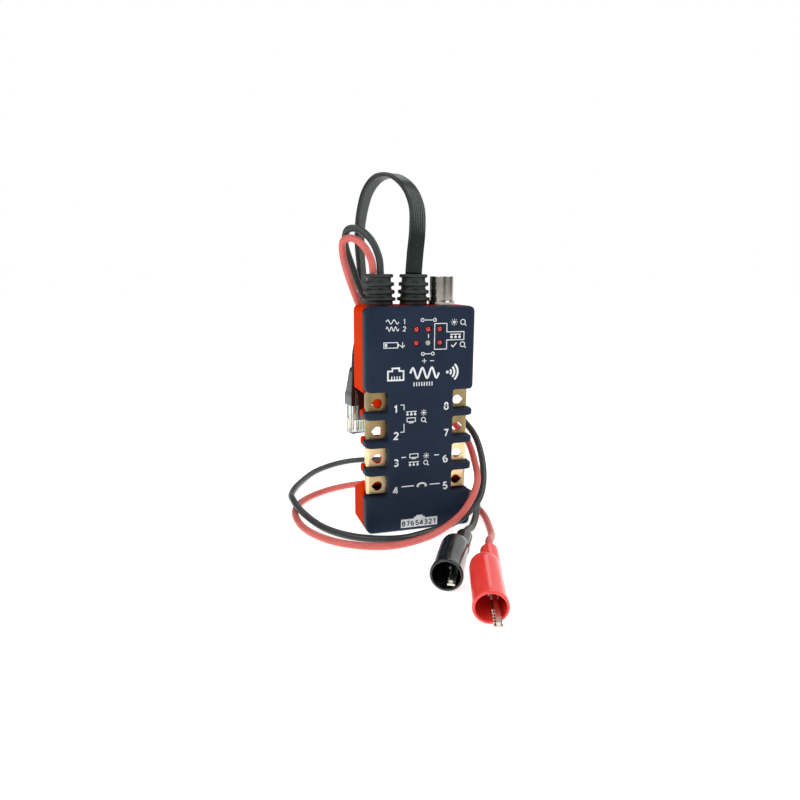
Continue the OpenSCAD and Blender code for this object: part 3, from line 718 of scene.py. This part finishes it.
def digit_lines(number):
    """The strokes of a digit that is 2 units tall and about 1.2 wide, centred on the origin."""
    upper = arc(0, 0.46, 0.5, 150, -90, 13)
    lower = arc(0, -0.44, 0.56, 90, -150, 13)
    return {
        1: [[(-0.42, 0.62), (0.1, 1), (0.1, -1)]],
        2: [arc(0, 0.44, 0.54, 165, -35, 12) + [(-0.56, -0.98), (0.62, -0.98)]],
        3: [upper + lower[1:]],
        4: [[(0.3, -1), (0.3, 1)], [(0.22, 0.9), (-0.6, -0.42)], [(-0.82, -0.5), (0.72, -0.5)]],
        5: [[(0.5, 0.98), (-0.38, 0.98), (-0.46, 0.08)] + arc(0, -0.4, 0.58, 115, -150, 14)],
        6: [arc(0.42, -0.2, 1.2, 100, 165, 8) + arc(0, -0.42, 0.56, 150, 470, 20)],
        7: [[(-0.56, 0.96), (0.56, 0.96), (-0.14, -1)]],
        8: [arc(0, 0.5, 0.46, 270, -75, 20), arc(0, -0.44, 0.56, 90, 435, 20)],
    }[number]


def digit(ink, number, x, z, height, width):
    """A number whose outside is as tall as height, drawn in lines of one width."""
    half = (height - width) / 2
    for line in digit_lines(number):
        ink.stroke([(x + half * u, z + half * v) for u, v in line], width)


def print_head():
    """The signs round the indicator lights, and the sign of the tool below them."""
    ink = Print()
    wave(ink, -15.4, 107.6, 6.4, 2, 2)
    wave(ink, -15.4, 104.2, 6.4, 2, 3)
    digit(ink, 1, -9.3, 107.6, 2.6, FINE)
    digit(ink, 2, -9.3, 104.2, 2.6, FINE)
    link(ink, 3.1, 108.3, 3.2)
    ink.stroke([(3.1, 101.5), (3.1, 99.5)], FINE)
    ink.stroke([(12.7, 98.3), (12.7, 93.8), (6.3, 93.8), (6.3, 106.5), (12.7, 106.5), (12.7, 102.3),
                (21.9, 102.3), (21.9, 98.3)], FINE, True)
    burst(ink, 16.6, 107.1, 1.7)
    lens(ink, 21.2, 106.9, 1.7)
    hub(ink, 17.4, 100.2, 6)
    tick(ink, 16.6, 95.8, 1.4)
    lens(ink, 21.2, 95.8, 1.7)
    battery_sign(ink, -16.2, 96.3, 7)
    ink.stroke([(-10.2, 97.6), (-10.2, 95.2)], FINE)
    ink.stroke([(-11.3, 96.2), (-10.2, 95), (-9.1, 96.2)], FINE)
    link(ink, 2.9, 91.7, 2.6)
    ink.stroke([(0, 88.2), (2.2, 88.2)], FINE)
    ink.stroke([(1.1, 89.3), (1.1, 87.1)], FINE)
    ink.stroke([(4.2, 88.2), (6.2, 88.2)], FINE)
    jack_sign(ink, -13.6, 82, 8)
    wave(ink, 1.4, 82.2, 15, 5.2, 3, 1)
    for r in (1.6, 3.4, 5.2):
        ink.stroke(arc(13.8, 82.2, r, -48, 48, 12), 1)
    ink.dot(13.4, 82.2, 0.75)
    for k in range(8):
        ink.bar((k - 3.5) * 1.35 + 0.6, 76.7, 0.55, 2)
    ink.make("print_head", WHITE_INK)


def print_neck():
    """The terminals' numbers, and the signs between them."""
    ink = Print()
    for number, x, z in ((1, -13.4, 64.5), (2, -13.3, 51), (3, -13.2, 37), (4, -13.4, 22.6),
                         (8, 13.2, 64.9), (7, 13.3, 50.9), (6, 13.3, 37.2), (5, 13.4, 22.8)):
        digit(ink, number, x, z, 4.2, 0.75)
    ink.stroke([(-11, 66.6), (-9.2, 66.5), (-9.2, 63.9)], FINE)
    ink.stroke([(-9.2, 57), (-9.1, 52.8), (-11, 52.7)], FINE)
    hub(ink, -5.4, 62.1, 5.6)
    burst(ink, 1.2, 62.1, 1.6)
    screen(ink, -5.4, 58.4, 4.4)
    lens(ink, 1, 58.4, 1.5)
    screen(ink, -3.8, 39.7, 4.4)
    burst(ink, 2.8, 39.6, 1.6)
    hub(ink, -3.8, 35.9, 5.6)
    lens(ink, 2.6, 35.9, 1.5)
    for left, right, z in ((-10.4, -8, 39.6), (7.2, 9.8, 39.6), (-10.3, -3.6, 24.2), (4.8, 10.4, 24.2)):
        ink.stroke([(left, z), (right, z)], LINE)
    handset(ink, 0.6, 24.4, 5)
    ink.make("print_neck", WHITE_INK)


def print_base():
    """The white jack panel with its contact numbers."""
    ink = Print()
    ink.shape([(-10.4, 2), (9.4, 2), (9.4, 6.5), (2.4, 6.5), (2.4, 7.4), (1.2, 7.4), (1.2, 8.2), (-2.2, 8.2),
               (-2.2, 7.4), (-3.4, 7.4), (-3.4, 6.5), (-10.4, 6.5)])
    ink.make("print_base", WHITE_INK)
    ink = Print(2 * INK_PROUD)
    for k in range(8):
        digit(ink, 8 - k, -9 + 2.42 * k, 4.1, 2.9, 0.5)
    ink.make("print_base_digits", SURFACES["navy_shell"])


print_head()
print_neck()
print_base()


# ---------- stage and light ----------

WORLD_LIGHT = 0.9
WHITE = (1, 1, 1, 1)
FLOOR_HALF = 4.0
FLOOR_DROP = 0.05 * MM
# How bright the studio is round the object, by bearing: 0.25 is -X, 0.5 the front, 0.75 +X
BACK_FLAG = (0.08, 0.08, 0.08)
STUDIO = ((0.08, 0.1), (0.14, 0.45), (0.25, 0.5), (0.44, 0.6), (0.485, 0.5), (0.497, 0.05), (0.545, 0.04),
          (0.56, 0.4), (0.66, 0.35), (0.72, 0.15), (0.79, 0.2), (0.82, 1), (0.9, 1), (0.93, 0.1))


def make_stage():
    """A wide white floor that glows a little, so that it meets the white round it without a line."""
    mesh = bpy.data.meshes.new("floor")
    corners = [(x, y, 0) for x, y in rectangle(0, 0, 2 * FLOOR_HALF, 2 * FLOOR_HALF)]
    mesh.from_pydata(corners, [], [(0, 1, 2, 3)])
    white = node_material("floor", "eeefef", "f4f5f5", 0.8, patch=3, settings=[
        ("Emission Color", WHITE), ("Emission Strength", 0.72), ("Specular IOR Level", 0.1)])
    floor = add_object("floor", mesh, white)
    floor.location.z = -FLOOR_DROP


def area_light(name, at, aim, size, power):
    """A soft box at one place that shines towards another."""
    data = bpy.data.lights.new(name, "AREA")
    data.shape = "RECTANGLE"
    data.size, data.size_y = size
    data.energy = power
    lamp = bpy.data.objects.new(name, data)
    lamp.location = at
    lamp.rotation_euler = (Vector(at) - Vector(aim)).to_track_quat("Z", "Y").to_euler()
    bpy.context.scene.collection.objects.link(lamp)


def make_world():
    """White to the camera; to the object a soft studio, with dark flags that give metal its bands."""
    world = bpy.data.worlds.new("studio")
    bpy.context.scene.world = world
    world.use_nodes = True
    nodes, links = world.node_tree.nodes, world.node_tree.links
    glow = nodes["Background"]
    glow.inputs["Strength"].default_value = WORLD_LIGHT
    place = nodes.new("ShaderNodeTexCoord")
    split = nodes.new("ShaderNodeSeparateXYZ")
    back = nodes.new("ShaderNodeMath")
    back.operation = "MULTIPLY"
    back.inputs[1].default_value = -1
    bearing = nodes.new("ShaderNodeMath")
    bearing.operation = "ARCTAN2"
    spread = nodes.new("ShaderNodeMapRange")
    spread.inputs["From Min"].default_value = -math.pi
    spread.inputs["From Max"].default_value = math.pi
    bands = nodes.new("ShaderNodeValToRGB")
    stops = bands.color_ramp.elements
    stops[0].color = (*BACK_FLAG, 1)
    stops[1].position = 1
    stops[1].color = (*BACK_FLAG, 1)
    for position, grey in STUDIO:
        stops.new(position).color = (grey, grey, grey, 1)
    links.new(place.outputs["Generated"], split.inputs["Vector"])
    links.new(split.outputs["Y"], back.inputs[0])
    links.new(split.outputs["X"], bearing.inputs[0])
    links.new(back.outputs["Value"], bearing.inputs[1])
    links.new(bearing.outputs["Value"], spread.inputs["Value"])
    links.new(spread.outputs["Result"], bands.inputs["Fac"])
    links.new(bands.outputs["Color"], glow.inputs["Color"])
    seen = nodes.new("ShaderNodeBackground")
    seen.inputs["Color"].default_value = WHITE
    path = nodes.new("ShaderNodeLightPath")
    pick = nodes.new("ShaderNodeMixShader")
    links.new(path.outputs["Is Camera Ray"], pick.inputs["Fac"])
    links.new(glow.outputs["Background"], pick.inputs[1])
    links.new(seen.outputs["Background"], pick.inputs[2])
    links.new(pick.outputs["Shader"], nodes["World Output"].inputs["Surface"])


make_stage()
make_world()
area_light("key", (-0.6, -0.35, 0.7), (0, 0, 0.07), (0.6, 0.6), 3)
area_light("fill", (0.5, -0.3, 0.6), (0, -0.05, 0.05), (0.35, 0.6), 2.6)
area_light("back", (0.1, 0.7, 0.8), (0, 0, 0.08), (0.9, 0.5), 2.5)
